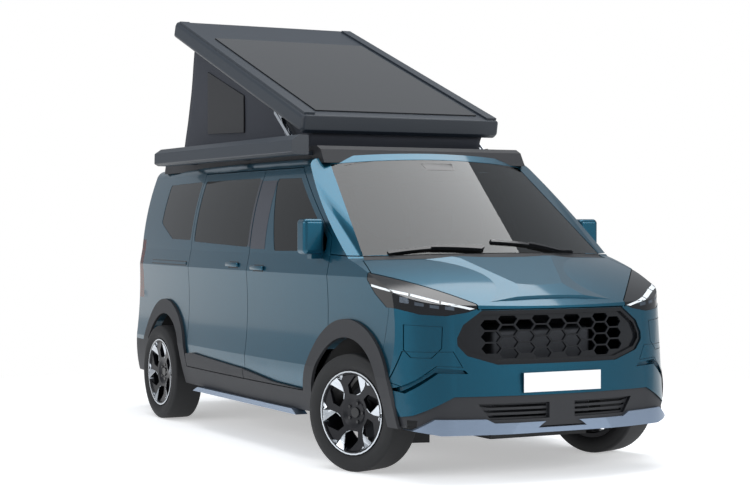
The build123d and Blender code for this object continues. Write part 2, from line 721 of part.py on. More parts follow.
def roof():
    """The steel roof between the gutters, with the hatch cut out."""
    half, front, rear = HATCH
    top = skin_layer(0, WALL) & block(-ROOF_EDGE_X, ROOF_EDGE_X, -1100, TAIL_Y, 1600, 2000)
    top = top - screen_cut() - tail_cut(SHUT_GAP) - block(-half, half, front, rear, 1600, 2000)
    for x in (-420, 420):
        leaf_top = TAIL_TOP_Z + SHUT_GAP + 3
        top = top + block(x - 40, x + 40, 2225, 2240, TAIL_TOP_Z + SEAT_GAP, leaf_top)
    return top


# Glass

def glass_layer():
    return skin_layer(GLASS_SINK, GLASS_SINK + GLASS)


def windscreen():
    return glass_layer() & screen_cut(-SEAT_GAP)


def side_pane(name):
    cut = side_cut(SIDE_WINDOWS[name], -SEAT_GAP, radius=WINDOW_CORNER)
    return glass_layer() & cut


def side_glass():
    """The fixed panes: both quarter windows, and the middle windows of both sides."""
    right = side_pane("quarter") + side_pane("sliding")
    return right + mirrored(right)


def tailgate_glass():
    cut = front_cut(REAR_WINDOW, -SEAT_GAP, radius=40, y_from=TAIL_Y - 400, y_to=TAIL_Y + 100)
    return glass_layer() & cut


def tail_lamps():
    lamp = skin_layer(0, WALL) & tail_lamp_cut() & block(-1200, 0, 0, 3000, 0, 3000)
    lamp = lamp - tail_cut(SHUT_GAP)
    return lamp + mirrored(lamp)


# Black trim along the foot of the sides

SILL_TRIM_Z = DOOR_BOTTOM_Z - SHUT_GAP
DOOR_TRIM = [(-1070, DOOR_BOTTOM_Z), (-620, 446), (-154, 492), (-154, DOOR_BOTTOM_Z)]
SLIDING_TRIM = [(-146, DOOR_BOTTOM_Z), (-146, 493), (820, 534), (960, 520), (960, DOOR_BOTTOM_Z)]


def trim_layer():
    return skin_layer(-TRIM_THICK, -SEAT_GAP) & block(-1200, 0, -3000, 3000, 0, 3000)


def cladding():
    """Arch rings, sill strips and the strips across the lower sides, on both sides."""
    outer, inner = ARCH_R + ARCH_TRIM, ARCH_R
    rings = arches(outer, 500, 500) - arches(inner, 600, 600)
    ends = yz_prism([(-2200, FLOOR_Z), (-2200, 1000), (2120, 1000), (2120, FLOOR_Z)], -1200, -600)
    sill = yz_prism([(-1400, FLOOR_Z), (-1400, SILL_TRIM_Z), (1300, SILL_TRIM_Z), (1300, FLOOR_Z)],
                    -1200, -600)
    strip = yz_prism(SLIDING_TRIM, -1200, -600) - door_clear(REAR_AXLE_Y)
    shape = (rings & ends) + (sill - arches(outer, 500, 500)) + strip
    side = trim_layer() & shape
    return side + mirrored(side)


def door_cladding():
    return trim_layer() & (yz_prism(DOOR_TRIM, -1200, -600) - door_clear(FRONT_AXLE_Y))


# Floor, wheel houses and running gear

def floor_pan():
    inner, narrow = FLOOR_HALF - SEAT_GAP, FLOOR_REAR_HALF - SEAT_GAP
    top = FLOOR_Z + WALL
    pan = block(-inner, inner, FIREWALL_Y - 60, FLOOR_STEP_Y - SEAT_GAP, FLOOR_Z, top)
    pan = pan + block(-narrow, narrow, 1800, FLOOR_REAR_Y - SEAT_GAP, FLOOR_Z, top)
    outer = arches(ARCH_R + 14, HOUSE_DEPTH_FRONT + 10, HOUSE_DEPTH_REAR + 10)
    air = arches(ARCH_R + 2, HOUSE_DEPTH_FRONT, HOUSE_DEPTH_REAR)
    house = (outer - air) & block(-1200, 0, -3000, 3000, FLOOR_Z, 1200)
    low = block(-inner, inner, -3000, FLOOR_STEP_Y - SEAT_GAP, FLOOR_Z, top + SEAT_GAP)
    above = envelope(WALL + SEAT_GAP) + low
    house = house & above
    pan = pan - outer - mirrored(outer)
    return pan + house + mirrored(house)


ENGINE = (340.0, -2230.0, -1690.0, 310.0, 850.0)   # half width, front, rear, foot and top
KINGPIN_X = 770.0
HUB_R = 32.0
HUB_FACE = 24.0               # inner face of the rim's hub, from the wheel's middle
UP = (Align.CENTER, Align.CENTER, Align.MIN)
PIN_R = 12.0
ARM_TOP_Z = 176.0
ARM_THICK = 26.0
STRUT_X = 690.0


def engine():
    half, front, rear, foot, top = ENGINE
    return fillet(block(-half, half, front, rear, foot, top).edges(), 30)


def front_subframe():
    """Cross member, engine carriers, lower arms with their ball pins, and the struts."""
    y = FRONT_AXLE_Y
    beam = block(-470, 470, y - 150, y + 130, 200, 270)
    beam = beam + block(-470, -400, y - 100, y + 120, 260, FLOOR_Z - SEAT_GAP)
    beam = beam + block(400, 470, y - 100, y + 120, 260, FLOOR_Z - SEAT_GAP)
    carrier = block(-330, 330, -2200, y - 140, 215, 262)
    carrier = carrier + block(-200, 200, -2100, -1900, 250, ENGINE[3] - SEAT_GAP)
    arm = xy_prism([(-460, y - 120), (-460, y + 110), (-KINGPIN_X - 26, y + 26), (-KINGPIN_X - 26, y - 26)],
                   ARM_TOP_Z - ARM_THICK, ARM_TOP_Z + 40)
    arm = arm - block(-900, -560, y - 300, y + 300, ARM_TOP_Z, ARM_TOP_Z + 60)
    pin = Pos(-KINGPIN_X, y, ARM_TOP_Z - 5) * Cylinder(PIN_R, 35, align=UP)
    top = block(-KINGPIN_X - 24, -STRUT_X + 24, y - 24, y + 24, 516.3, 540)
    strut = Pos(-STRUT_X, y, 530) * Cylinder(24, 250, align=UP)
    tower = Pos(-STRUT_X, y, 600) * Cylinder(46, 160, align=UP)
    side = arm + pin
    upper = top + strut + tower
    return beam + carrier + side + mirrored(side) + upper + mirrored(upper)


def knuckle():
    """Upright, hub and brake disc of a front wheel, in straight-ahead position, right-hand side."""
    y, z, x = FRONT_AXLE_Y, WHEEL_Z, -KINGPIN_X
    post = block(x - 22, x + 22, y - 30, y + 30, ARM_TOP_Z + SEAT_GAP, 516)
    post = post - Pos(x, y, ARM_TOP_Z - 5) * Cylinder(PIN_R + SEAT_GAP, 35 + SEAT_GAP, align=UP)
    hub = cross_tube(y, z, HUB_R, -TRACK_HALF + 8, x)
    flange = cross_tube(y, z, 62, -TRACK_HALF + HUB_FACE + SEAT_GAP, x - 20)
    disc = cross_tube(y, z, 155, x - 52, x - 28)
    return post + hub + flange + disc


def rear_axle():
    """Dropped beam with its end plates, hubs and leaf springs."""
    y, z = REAR_AXLE_Y, WHEEL_Z
    beam = cross_tube(y, 225, 38, -735, 735)
    plate = block(-735, -712, y - 70, y + 70, 190, 415)
    hub = cross_tube(y, z, HUB_R, -TRACK_HALF + 8, -720)
    flange = cross_tube(y, z, 62, -TRACK_HALF + HUB_FACE + SEAT_GAP, -720)
    disc = cross_tube(y, z, 150, -TRACK_HALF + 56, -TRACK_HALF + 76)
    side = plate + hub + flange + disc + leaf_spring()
    return beam + side + mirrored(side)


def leaf_spring():
    y, half, low, high = REAR_AXLE_Y, 640.0, 262.0, FLOOR_Z - SEAT_GAP
    thick = 15.0
    arc = [
        ThreePointArc((y - half, high), (y, low), (y + half, high)),
        Line((y + half, high), (y + half, high - thick)),
        ThreePointArc((y + half, high - thick), (y, low - thick), (y - half, high - thick)),
        Line((y - half, high - thick), (y - half, high)),
    ]
    face = Plane.YZ.offset(-590) * make_face(arc)
    return extrude(face, 60, dir=(1, 0, 0))


def fuel_tank():
    return fillet(block(90, 560, -850, 80, 195, FLOOR_Z - SEAT_GAP).edges().filter_by(Axis.Y), 30)


def exhaust():
    """Pipe, silencer and tail pipe, hung under the floor by two straps."""
    radius, x, z = 27.0, -270.0, 245.0
    front, rear = FRONT_AXLE_Y + 160, REAR_AXLE_Y - 100
    pipe = Pos(x, (front + rear) / 2, z) * Rot(90, 0, 0) * Cylinder(radius, rear - front)
    box = Pos(x, 700, z) * Rot(90, 0, 0) * Cylinder(48, 620)
    for y in (-900, 700):
        box = box + block(x - 15, x + 15, y - 15, y + 15, z, FLOOR_Z - SEAT_GAP)
    return pipe + box


# Wheels, modelled about the origin with their outer face to -X

RIM_WIDTH = 206.0
BEAD_R = 232.0
BARREL_R = 214.0
SPOKE_COUNT = 6


def tyre():
    half, bead, tread = TYRE_WIDTH / 2, RIM_WIDTH / 2 - 8 - SEAT_GAP, 88.0
    mid = 292.0
    edges = [
        Line((-bead, BEAD_R + SEAT_GAP), (bead, BEAD_R + SEAT_GAP)),
        Line((bead, BEAD_R + SEAT_GAP), (bead, RIM_R + 2)),
        ThreePointArc((bead, RIM_R + 2), (half, mid), (half - 8, TYRE_R - 18)),
        ThreePointArc((half - 8, TYRE_R - 18), (half - 14, TYRE_R - 6), (tread, TYRE_R - 1)),
        ThreePointArc((tread, TYRE_R - 1), (0, TYRE_R), (-tread, TYRE_R - 1)),
        ThreePointArc((-tread, TYRE_R - 1), (-half + 14, TYRE_R - 6), (-half + 8, TYRE_R - 18)),
        ThreePointArc((-half + 8, TYRE_R - 18), (-half, mid), (-bead, RIM_R + 2)),
        Line((-bead, RIM_R + 2), (-bead, BEAD_R + SEAT_GAP)),
    ]
    return revolve(make_face(edges), Axis.X)


def rim():
    """Barrel with flanges, and the dished face of twin spokes round the hub."""
    half = RIM_WIDTH / 2
    profile = [
        (-half, BARREL_R + 14), (-half, RIM_R), (-half + 8, RIM_R), (-half + 8, BEAD_R),
        (half - 8, BEAD_R), (half - 8, RIM_R), (half, RIM_R), (half, BARREL_R + 8), (half - 14, BARREL_R),
        (-half + 30, BARREL_R),
    ]
    barrel = revolve(make_face(Polyline(*profile, close=True)), Axis.X)
    face = [
        (-58, 0), (-62, 66), (-76, 90), (-92, 222), (-74, 222), (-50, 110), (HUB_FACE, 72), (HUB_FACE, 0),
    ]
    dish = revolve(make_face(Polyline(*face, close=True)), Axis.X)
    dish = dish - spoke_windows()
    bore = cross_tube(0, 0, HUB_R + SEAT_GAP, -SEAT_GAP, HUB_FACE + 5)
    return barrel + (dish - bore)


def polar(points, turn=0.0):
    """(y, z) points in the wheel's plane from (radius, degrees) points."""
    return [(r * math.cos(math.radians(a + turn)), r * math.sin(math.radians(a + turn))) for r, a in points]


SPOKE_WINDOW = [(114, 13), (166, 16), (216, 34), (224, 40), (224, 58), (216, 61), (172, 61), (114, 53)]


def spoke_windows():
    """The openings between the bent spokes, as seen from outside with the spokes swept forward."""
    windows = []
    for k in range(SPOKE_COUNT):
        outline = polar(SPOKE_WINDOW, 360 / SPOKE_COUNT * k)
        windows.append(yz_prism(outline, -120, 60, radius=5))
    return windows


def steered(shape, side):
    """Turns a front wheel's piece about its kingpin to the angle at which the van is parked."""
    return shape.rotate(Axis((side * KINGPIN_X, FRONT_AXLE_Y, 0), (0, 0, 1)), STEER_REST)


# Pop-up roof, worked out closed and then raised about its hinge line

ROOF_HINGE = (-659.0, 1859.0)
ROOF_OPEN = 20.1
FRAME_TOP_Z = 1950.0
FRAME_HALF = 745.0
PANEL_HALF = 743.0
PANEL_FRONT_Y = -465.0
PANEL_REAR_Y = 2015.0
PANEL_FOOT_Z = 1975.0
PANEL_TOP_Z = 2100.0
LINK_FOOT = (-378.0, 1957.0)
LINK_EYE = (-50.0, 2200.0)    # with the roof raised
LINK_X = 705.0
LINK_PIN_R = 6.0
CHANNEL = (678.0, 735.0)
TENT_HALF = 660.0
TENT_WALL = 4.0


def raised(shape):
    return shape.rotate(Axis((0, *ROOF_HINGE), (1, 0, 0)), ROOF_OPEN)


def raised_point(y, z):
    a = math.radians(ROOF_OPEN)
    dy, dz = y - ROOF_HINGE[0], z - ROOF_HINGE[1]
    along, up = dy * math.cos(a) - dz * math.sin(a), dy * math.sin(a) + dz * math.cos(a)
    return (ROOF_HINGE[0] + along, ROOF_HINGE[1] + up)


def roof_frame():
    """The black frame on the steel roof: brow over the windscreen, and rim round the hatch."""
    top = FRAME_TOP_Z
    points = [(-872, 1836), (-815, 1925), (-760, top), (1950, top), (1985, 1860), (1985, 1780), (-872, 1780)]
    frame = yz_prism(points, -FRAME_HALF, FRAME_HALF) - envelope(-SEAT_GAP)
    frame = frame & block(-FRAME_HALF, FRAME_HALF, -1000, 3000, 1838, 2000)
    half, front, rear = HATCH
    frame = frame - block(-half - 30, half + 30, front - 30, rear + 30, 1700, 2000)
    channel = block(CHANNEL[0], CHANNEL[1], -430, 80, 1925, 2000)
    pin = cross_tube(*LINK_FOOT, LINK_PIN_R, CHANNEL[0] - 6, CHANNEL[1] + 4)
    ears = block(CHANNEL[0] - 6, CHANNEL[0], -400, -356, 1940, 1972)
    ears = ears + block(CHANNEL[1], CHANNEL[1] + 6, -400, -356, 1940, 1972)
    frame = frame - channel - mirrored(channel)
    return frame + pin + ears + mirrored(pin) + mirrored(ears)


def roof_panel():
    """The lid of the pop-up roof: a deep tray, open below, with two rails on its top."""
    half, front, rear = PANEL_HALF, PANEL_FRONT_Y, PANEL_REAR_Y
    side = [(front - 6, PANEL_FOOT_Z + 30), (front + 8, PANEL_TOP_Z), (rear - 20, PANEL_TOP_Z),
            (rear, PANEL_TOP_Z - 30), (rear, PANEL_FOOT_Z), (front + 20, PANEL_FOOT_Z)]
    lid = yz_prism(side, -half, half, radius=8)
    lid = fillet(lid.edges().filter_by(Axis.Y).group_by(Axis.Z)[-1], 30)
    lid = lid - block(-half + 105, half - 105, front + 110, rear - 290, PANEL_FOOT_Z - 5, PANEL_TOP_Z - 45)
    channel = block(CHANNEL[0] - 2, CHANNEL[1] + 2, -430, 90, PANEL_FOOT_Z - 5, PANEL_FOOT_Z + 42)
    lid = lid - channel - mirrored(channel)
    rail = block(-726, -650, front + 30, rear - 60, PANEL_TOP_Z - 2, PANEL_TOP_Z + 14)
    return raised(lid + rail + mirrored(rail))


def solar_panel():
    low = PANEL_TOP_Z + SEAT_GAP
    return raised(block(-610, 610, PANEL_FRONT_Y + 110, PANEL_FRONT_Y + 1960, low, low + 8))


def roof_links():
    """The pair of bright arms that carry the front of the raised roof, one pair on each side."""
    (y0, z0), (y1, z1) = LINK_FOOT, LINK_EYE
    run = math.hypot(y1 - y0, z1 - z0)
    along = ((y1 - y0) / run, (z1 - z0) / run)
    across = (-along[1], along[0])

    def at(distance, rise):
        return (y0 + along[0] * distance + across[0] * rise, z0 + along[1] * distance + across[1] * rise)
    width = 13.0
    blade = [at(0, -width), at(run, -width), at(run, width), at(0, width)]
    links = None
    for x in (LINK_X - 16, LINK_X + 10):
        bar = yz_prism(blade, x, x + 6)
        bar = bar + cross_tube(y0, z0, width, x, x + 6) + cross_tube(y1, z1, width, x, x + 6)
        bar = bar - cross_tube(y0, z0, LINK_PIN_R + SEAT_GAP, x - 1, x + 7)
        links = bar if links is None else links + bar
    links = links + cross_tube(y1, z1, 8, LINK_X - 16, LINK_X + 16)
    links = links + cross_tube(*at(80, 0), 8, LINK_X - 16, LINK_X + 16)
    stay = yz_prism([at(150, -30), at(158, -30), at(308, 26), at(300, 30)], LINK_X - 16, LINK_X + 16)
    links = links + stay
    return links + mirrored(links)


def canvas():
    """The tent's four walls between the frame and the raised lid."""
    low = FRAME_TOP_Z + SEAT_GAP
    front_top = raised_point(PANEL_FRONT_Y + 65, PANEL_FOOT_Z - SEAT_GAP)
    rear_top = raised_point(1752, PANEL_FOOT_Z - SEAT_GAP)
    outer = [(-425, low), front_top, rear_top, (1820, low)]
    wall = TENT_WALL
    inner_front = raised_point(PANEL_FRONT_Y + 65 + wall, PANEL_FOOT_Z + 20)
    inner_rear = raised_point(1752 - wall, PANEL_FOOT_Z + 20)
    inner = [(-425 + wall, low - 10), inner_front, inner_rear, (1820 - wall, low - 10)]
    shell = yz_prism(outer, -TENT_HALF, TENT_HALF)
    return shell - yz_prism(inner, -TENT_HALF + wall, TENT_HALF - wall)


def awning():
    """The rolled awning's housing on the right-hand gutter, with its three brackets."""
    outline = [(-868, 1884), (-868, 2008), (-930, 2010), (-982, 1975), (-984, 1900), (-955, 1884)]
    case = xz_prism(outline, -900, 1570, radius=8)
    for y in (-700, 300, 1300):
        case = case + block(-872, -FRAME_HALF - SEAT_GAP, y, y + 60, 1890, 1915)
    return case


# Cabin

def dashboard():
    """Dashboard shelf across the cabin, with the steering wheel on its column."""
    points = [(FIREWALL_Y + SEAT_GAP, 800), (FIREWALL_Y + SEAT_GAP, 1130), (-1500, 1170), (-1150, 1130),
              (-1095, 1010), (-1180, 860), (-1350, 800)]
    shelf = yz_prism(points, -800, 800, radius=20)
    centre = Pos(400, -950, 1085) * Rot(115, 0, 0)
    wheel = centre * Torus(178, 13)
    spokes = centre * Box(350, 34, 14)
    column = centre * Cylinder(24, 330, align=UP)
    return shelf + wheel + spokes + column


def front_seats():
    seat = front_seat()
    return seat + mirrored(seat)


def front_seat():
    """A swivel seat: pedestal, cushion, leaning back and head restraint."""
    x, foot = -420.0, FLOOR_Z + WALL + SEAT_GAP
    base = block(x - 150, x + 150, -800, -430, foot, 640)
    cushion = fillet(block(x - 245, x + 245, -880, -330, 630, 770).edges(), 30)
    back = [(-430, 740), (-300, 740), (-180, 1370), (-270, 1370)]
    rest = fillet(yz_prism(back, x - 235, x + 235).edges(), 25)
    head = fillet(block(x - 130, x + 130, -262, -172, 1385, 1560).edges(), 30)
    posts = block(x - 60, x + 60, -226, -212, 1350, 1400)
    return base + cushion + rest + head + posts


def rear_bench():
    """The folding bench that makes the lower bed."""
    foot = FLOOR_Z + WALL + SEAT_GAP
    base = block(-655, 395, 700, 1120, foot, 620)
    cushion = fillet(block(-660, 410, 640, 1190, 610, 760).edges(), 30)
    back = fillet(yz_prism([(1080, 740), (1210, 740), (1330, 1340), (1240, 1340)], -660, 410).edges(), 25)
    return base + cushion + back


def kitchen_unit():
    """Cabinets along the left-hand wall, with a worktop."""
    foot = FLOOR_Z + WALL + SEAT_GAP
    body = block(450, 800, -60, 980, foot, 1180)
    top = block(435, 815, -75, 1000, 1170, 1205)
    return body + top


# Mirrors

def door_mirror():
    head = fillet(block(-1068, -928, -1262, -1142, 1266, 1482).edges(), 28)
    arm = block(-1010, -880, -1240, -1180, 1240, 1300)
    return (head + arm) - envelope(-SEAT_GAP)


def main():
    tyre_shape, rim_shape = tyre(), rim()
    wing, lamp = fender(), headlamp()
    pieces = {
        "floor_pan": floor_pan(),
        "side_wall_right": side_wall(True),
        "side_wall_left": mirrored(side_wall(False)),
        "sliding_door": sliding_door(),
        "fenders": wing + mirrored(wing),
        "cowl": cowl(),
        "roof": roof(),
        "roof_frame": roof_frame(),
        "windscreen": windscreen(),
        "side_glass": side_glass(),
        "front_bumper": front_bumper(),
        "grille": grille(),
        "lower_grille": lower_grille(),
        "headlamps": lamp + mirrored(lamp),
        "skid_trims": skid_trims(),
        "rear_bumper": rear_bumper(),
        "tail_lamps": tail_lamps(),
        "cladding": cladding(),
        "canvas": canvas(),
        "awning": awning(),
        "dashboard": dashboard(),
        "front_seats": front_seats(),
        "rear_bench": rear_bench(),
        "kitchen_unit": kitchen_unit(),
        "engine": engine(),
        "front_subframe": front_subframe(),
        "rear_axle": rear_axle(),
        "fuel_tank": fuel_tank(),
        "exhaust": exhaust(),
        "roof_panel": roof_panel(),
        "solar_panel": solar_panel(),
        "roof_links": roof_links(),
        "bonnet": bonnet(),
        "tailgate": tailgate(),
        "tailgate_glass": tailgate_glass(),
    }
    by_side = {
        "front_door": front_door(),
        "door_glass": side_pane("front"),
        "door_cladding": door_cladding(),
        "door_mirror": door_mirror(),
    }
    for name, shape in by_side.items():
        pieces[name + "_right"] = shape
        pieces[name + "_left"] = mirrored(shape)
    for name, side in (("right", -1), ("left", 1)):
        for part_name, shape in (("tyre", tyre_shape), ("rim", rim_shape)):
            turned = shape if side < 0 else mirrored(shape)
            front = Pos(side * TRACK_HALF, FRONT_AXLE_Y, WHEEL_Z) * turned
            pieces[f"{part_name}_front_{name}"] = steered(front, side)
            pieces[f"{part_name}_rear_{name}"] = Pos(side * TRACK_HALF, REAR_AXLE_Y, WHEEL_Z) * turned
        hub = knuckle() if side < 0 else mirrored(knuckle())
        pieces[f"knuckle_{name}"] = steered(hub, side)
    os.makedirs("parts", exist_ok=True)
    for name, shape in pieces.items():
        export_step(shape, f"parts/{name}.step")


if __name__ == "__main__":
    main()
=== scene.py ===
import json
import math
import bmesh
import bpy
from mathutils import Matrix, Vector, noise
from mathutils.bvhtree import BVHTree


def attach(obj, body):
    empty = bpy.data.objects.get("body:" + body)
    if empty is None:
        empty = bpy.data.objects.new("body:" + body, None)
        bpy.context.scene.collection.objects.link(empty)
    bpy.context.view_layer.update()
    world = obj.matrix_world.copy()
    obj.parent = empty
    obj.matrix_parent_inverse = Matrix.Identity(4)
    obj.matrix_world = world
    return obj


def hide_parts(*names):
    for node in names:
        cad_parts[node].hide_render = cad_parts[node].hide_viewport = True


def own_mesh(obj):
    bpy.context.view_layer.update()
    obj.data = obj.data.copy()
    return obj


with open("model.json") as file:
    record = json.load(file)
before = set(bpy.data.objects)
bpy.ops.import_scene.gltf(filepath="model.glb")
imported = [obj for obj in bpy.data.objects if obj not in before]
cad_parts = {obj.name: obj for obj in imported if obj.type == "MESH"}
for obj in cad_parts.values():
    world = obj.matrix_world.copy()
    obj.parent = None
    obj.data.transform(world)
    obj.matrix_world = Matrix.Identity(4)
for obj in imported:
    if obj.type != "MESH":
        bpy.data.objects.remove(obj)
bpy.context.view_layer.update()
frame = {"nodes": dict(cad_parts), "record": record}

# The studio: a white paper floor under a camper van, seen from its front right at eye height.
# The camera stands about twelve metres off with a long lens, as the photograph was taken.
# Lengths are metres and angles degrees. Right and left are the van's own sides.
PHOTO_WIDTH = 750
FOCAL_PX = 1714.5             # the lens's focal length in the photograph's pixels
SENSOR = 36.0                 # millimetres
EYE = (-5.435, -10.609, 1.446)
TILT = 0.884                  # how far the camera looks down
PAN = -27.308


def link(name, data):
    """A new object from a mesh, camera or lamp, in the scene."""
    obj = bpy.data.objects.new(name, data)
    bpy.context.scene.collection.objects.link(obj)
    return obj


camera = link("camera", bpy.data.cameras.new("camera"))
camera.location = EYE
camera.rotation_euler = (math.radians(90 - TILT), 0, math.radians(PAN))
camera.data.sensor_width = SENSOR
camera.data.lens = FOCAL_PX * SENSOR / PHOTO_WIDTH
camera.data.shift_x = 0.0039
camera.data.shift_y = 0.0015
camera.data.clip_end = 200
bpy.context.scene.camera = camera
bpy.context.scene.view_settings.view_transform = "Standard"


# Floor: matt white paper, large enough to fill every view.
# Near the van it takes shadows, and from there it fades to a plain white with no horizon.
FLOOR_HALF = 60.0
SHADOW_EDGE = (3.2, 5.5)      # radii between which the paper turns plain white


def colour(text):
    """An sRGB hex colour as linear red, green, blue and alpha."""
    values = [int(text[i:i + 2], 16) / 255 for i in (1, 3, 5)]
    return [v / 12.92 if v <= 0.04045 else ((v + 0.055) / 1.055) ** 2.4 for v in values] + [1.0]


def node(tree, kind, links=(), **settings):
    """Adds a shader node. Links are (input, output socket) pairs, settings are properties or inputs."""
    made = tree.nodes.new(kind)
    for key, value in settings.items():
        if key in made.bl_rna.properties:
            setattr(made, key, value)
        else:
            made.inputs[key.replace("_", " ")].default_value = value
    for target, source in links:
        tree.links.new(source, made.inputs[target])
    return made


def emptied(owner):
    """The node tree of a material or world, with nothing in it."""
    owner.use_nodes = True
    owner.node_tree.nodes.clear()
    return owner.node_tree


bm = bmesh.new()
bmesh.ops.create_grid(bm, x_segments=1, y_segments=1, size=FLOOR_HALF)
mesh = bpy.data.meshes.new("floor")
bm.to_mesh(mesh)
bm.free()
floor = link("floor", mesh)
paper = bpy.data.materials.new("floor_paper")
tree = emptied(paper)
matt = node(tree, "ShaderNodeBsdfDiffuse", Color=colour("#f4f5f6"))
lift = node(tree, "ShaderNodeEmission", Color=(1, 1, 1, 1), Strength=0.42)
near = node(tree, "ShaderNodeAddShader", [(0, matt.outputs[0]), (1, lift.outputs[0])])
far = node(tree, "ShaderNodeEmission", Color=(1, 1, 1, 1), Strength=1.0)
where = node(tree, "ShaderNodeTexCoord")
away = node(tree, "ShaderNodeVectorMath", [(0, where.outputs["Object"])], operation="LENGTH")
fade = node(tree, "ShaderNodeMapRange", [("Value", away.outputs["Value"])],
            From_Min=SHADOW_EDGE[0], From_Max=SHADOW_EDGE[1])
blended = node(tree, "ShaderNodeMixShader",
               [(0, fade.outputs[0]), (1, near.outputs[0]), (2, far.outputs[0])])
node(tree, "ShaderNodeOutputMaterial", [("Surface", blended.outputs[0])])
mesh.materials.append(paper)


# Light: an even pale room, with three soft boxes over the roof, the nose and the right flank.
# The camera, and glass that is looked through, see plain white behind the van.
SOFT_BOXES = [                # name, place, what it faces, width and height, watts
    ("over", (0.5, 0.0, 8.0), (0, 0, 0), (5, 9), 460),
    ("nose", (3.5, -9.5, 4.5), (0, -2, 0.8), (6, 3), 300),
    ("flank", (-9.5, -1.0, 4.0), (0, 0, 1.2), (9, 3), 300),
]
world = bpy.data.worlds.new("studio")
bpy.context.scene.world = world
tree = emptied(world)
path = node(tree, "ShaderNodeLightPath")
room = node(tree, "ShaderNodeBackground", Color=colour("#e9eef4"), Strength=0.55)
backdrop = node(tree, "ShaderNodeBackground", Color=(1, 1, 1, 1), Strength=1.0)
seen = node(tree, "ShaderNodeMath",
            [(0, path.outputs["Is Camera Ray"]), (1, path.outputs["Is Transmission Ray"])],
            operation="MAXIMUM")
mixed = node(tree, "ShaderNodeMixShader",
             [(0, seen.outputs[0]), (1, room.outputs[0]), (2, backdrop.outputs[0])])
node(tree, "ShaderNodeOutputWorld", [("Surface", mixed.outputs[0])])
for name, place, target, (width, height), watts in SOFT_BOXES:
    lamp = bpy.data.lights.new(name, "AREA")
    lamp.shape = "RECTANGLE"
    lamp.size, lamp.size_y = width, height
    lamp.energy = watts
    box = link(name, lamp)
    box.location = place
    box.rotation_euler = (Vector(target) - Vector(place)).to_track_quat("-Z", "Y").to_euler()


# Body panels: pressed steel and plastic in one metallic teal-blue, under clear lacquer.
# Bright flakes about a millimetre apart lie in the base coat, and the lacquer reflects over them.
PAINT_DEEP = "#032c3a"
PAINT_FLAKE = "#0c5f7a"
FLAKES_PER_METRE = 900.0


def shader(name, **settings):
    """A new material with a Principled shader: the material, its tree and the shader."""
    made = bpy.data.materials.new(name)
    tree = emptied(made)
    body = node(tree, "ShaderNodeBsdfPrincipled", **settings)
    node(tree, "ShaderNodeOutputMaterial", [("Surface", body.outputs[0])])
    return made, tree, body


def finish(name, material):
    """Gives a CAD node its finish."""
    mesh = frame["nodes"][name].data
    mesh.materials.clear()
    mesh.materials.append(material)


def finish_slot(slot, material):
    """Gives its finish to every CAD node of one of the record's material slots."""
    for row in frame["record"]["subparts"]:
        if row["material_slot"] == slot:
            finish(row["node"], material)


paint, tree, body = shader("metallic_lacquer", Metallic=0.85, Roughness=0.36, Coat_Weight=0.6,
                           Coat_Roughness=0.07)
where = node(tree, "ShaderNodeTexCoord")
flakes = node(tree, "ShaderNodeTexVoronoi", [("Vector", where.outputs["Object"])],
              Scale=FLAKES_PER_METRE)
tone = node(tree, "ShaderNodeMix", [("Factor", flakes.outputs["Distance"])], data_type="RGBA")
tone.inputs["A"].default_value = colour(PAINT_DEEP)
tone.inputs["B"].default_value = colour(PAINT_FLAKE)
tree.links.new(tone.outputs["Result"], body.inputs["Base Color"])
finish_slot("body_paint", paint)


# Cladding, scuttle and bumpers: charcoal polypropylene, moulded with a leathery grain.
# The grille is the same moulding in gloss black, and so are the solar panel's laminated cells.
def moulded(name, text, roughness, grain, depth):
    """A moulded, coated or woven surface: grain is the distance between its pits, in millimetres."""
    made, tree, body = shader(name, Roughness=roughness)
    body.inputs["Base Color"].default_value = colour(text)
    where = node(tree, "ShaderNodeTexCoord")
    pits = node(tree, "ShaderNodeTexNoise", [("Vector", where.outputs["Object"])],
                Scale=1000 / grain, Detail=3.0)
    bump = node(tree, "ShaderNodeBump", [("Height", pits.outputs[0])], Strength=depth,
                Distance=0.0005)
    tree.links.new(bump.outputs[0], body.inputs["Normal"])
    return made


gloss_black = moulded("gloss_black_plastic", "#101216", 0.18, 3.0, 0.02)
finish_slot("black_plastic", moulded("grained_plastic", "#1d1f24", 0.6, 1.2, 0.3))
finish_slot("solar_cells", gloss_black)
finish("grille", gloss_black)


# Glass: toughened privacy glass on the sides and the tail, and a laminated, lightly tinted screen.
# Both are clear right through and dark, so the cabin shows only as shapes.
def tinted_glass(name, text, roughness=0.0):
    """Float glass or a clear lens, dyed through."""
    made, _, body = shader(name, Roughness=roughness, IOR=1.45, Transmission_Weight=1.0)
    body.inputs["Base Color"].default_value = colour(text)
    return made


finish_slot("glass", tinted_glass("privacy_glass", "#12181c"))
finish("windscreen", tinted_glass("screen_glass", "#2f3b41"))


# Lamps: dark polycarbonate housings in front, and red dyed lenses behind.
# Both are moulded smooth, so they mirror the soft boxes.
finish_slot("lamp_lens", moulded("lamp_housing", "#0d0f13", 0.12, 3.0, 0.02))
finish_slot("red_lens", tinted_glass("red_lens", "#b01010", 0.05))


# Bare and painted metal: silver-painted trims, zinc-plated roof links, cast iron hubs.
# The wheels are cast alloy under black enamel. Handling leaves faint duller patches on all of them.
def worn_metal(name, text, roughness, metallic=1.0):
    """Metal whose gloss varies a little from patch to patch, some 20 mm across."""
    made, tree, body = shader(name, Metallic=metallic, Roughness=roughness)
    where = node(tree, "ShaderNodeTexCoord")
    worn = node(tree, "ShaderNodeTexNoise", [("Vector", where.outputs["Object"])], Scale=60.0,
                Detail=4.0)
    gloss = node(tree, "ShaderNodeMapRange", [("Value", worn.outputs[0])],
                 To_Min=max(0.02, roughness - 0.06), To_Max=roughness + 0.06)
    tree.links.new(gloss.outputs[0], body.inputs["Roughness"])
    body.inputs["Base Color"].default_value = colour(text)
    return made


